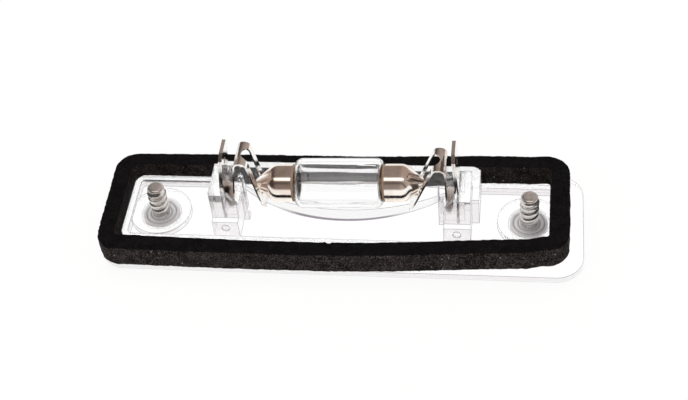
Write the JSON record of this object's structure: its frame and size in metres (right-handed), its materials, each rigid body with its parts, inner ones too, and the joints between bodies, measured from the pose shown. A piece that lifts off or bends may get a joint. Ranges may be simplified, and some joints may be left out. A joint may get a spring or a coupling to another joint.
{
  "type": "number plate lamp",
  "caption": "Clear lens plate with foam gasket, captive fixing screws and a festoon bulb held between two spring contacts with blade terminals.",
  "frame": {"origin": "middle of the lens's flat light face, half way between the two screws", "axes": "+X along the lamp from screw to screw, +Y towards the rear wall of the lens, +Z from the light face into the car body"},
  "size_m": [0.105, 0.0299, 0.0247],
  "materials": {
    "clear_lens": "clear moulded, polished",
    "black_foam": "closed-cell sponge, matte",
    "tinned_strip": "tinned spring strip",
    "plated_screw": "zinc plated",
    "bulb_glass": "clear blown glass",
    "nickel_cap": "nickel plated, slightly tarnished",
    "cap_cement": "baked cement",
    "lead_wire": "copper sheathed wire",
    "tungsten": "drawn wire coil",
    "solder": "soft solder"
  },
  "bodies": {
    "root": {"lens_body": "clear_lens", "foam_gasket": "black_foam", "contact_left": "tinned_strip", "contact_right": "tinned_strip", "screw_left": "plated_screw", "screw_right": "plated_screw", "bulb_glass": "bulb_glass", "bulb_cap_left": "nickel_cap", "bulb_cap_right": "nickel_cap", "bulb_cement_left": "cap_cement", "bulb_cement_right": "cap_cement", "bulb_lead_left": "lead_wire", "bulb_lead_right": "lead_wire", "bulb_filament": "tungsten", "bulb_solder_left": "solder", "bulb_solder_right": "solder"}
  },
  "joints": []
}
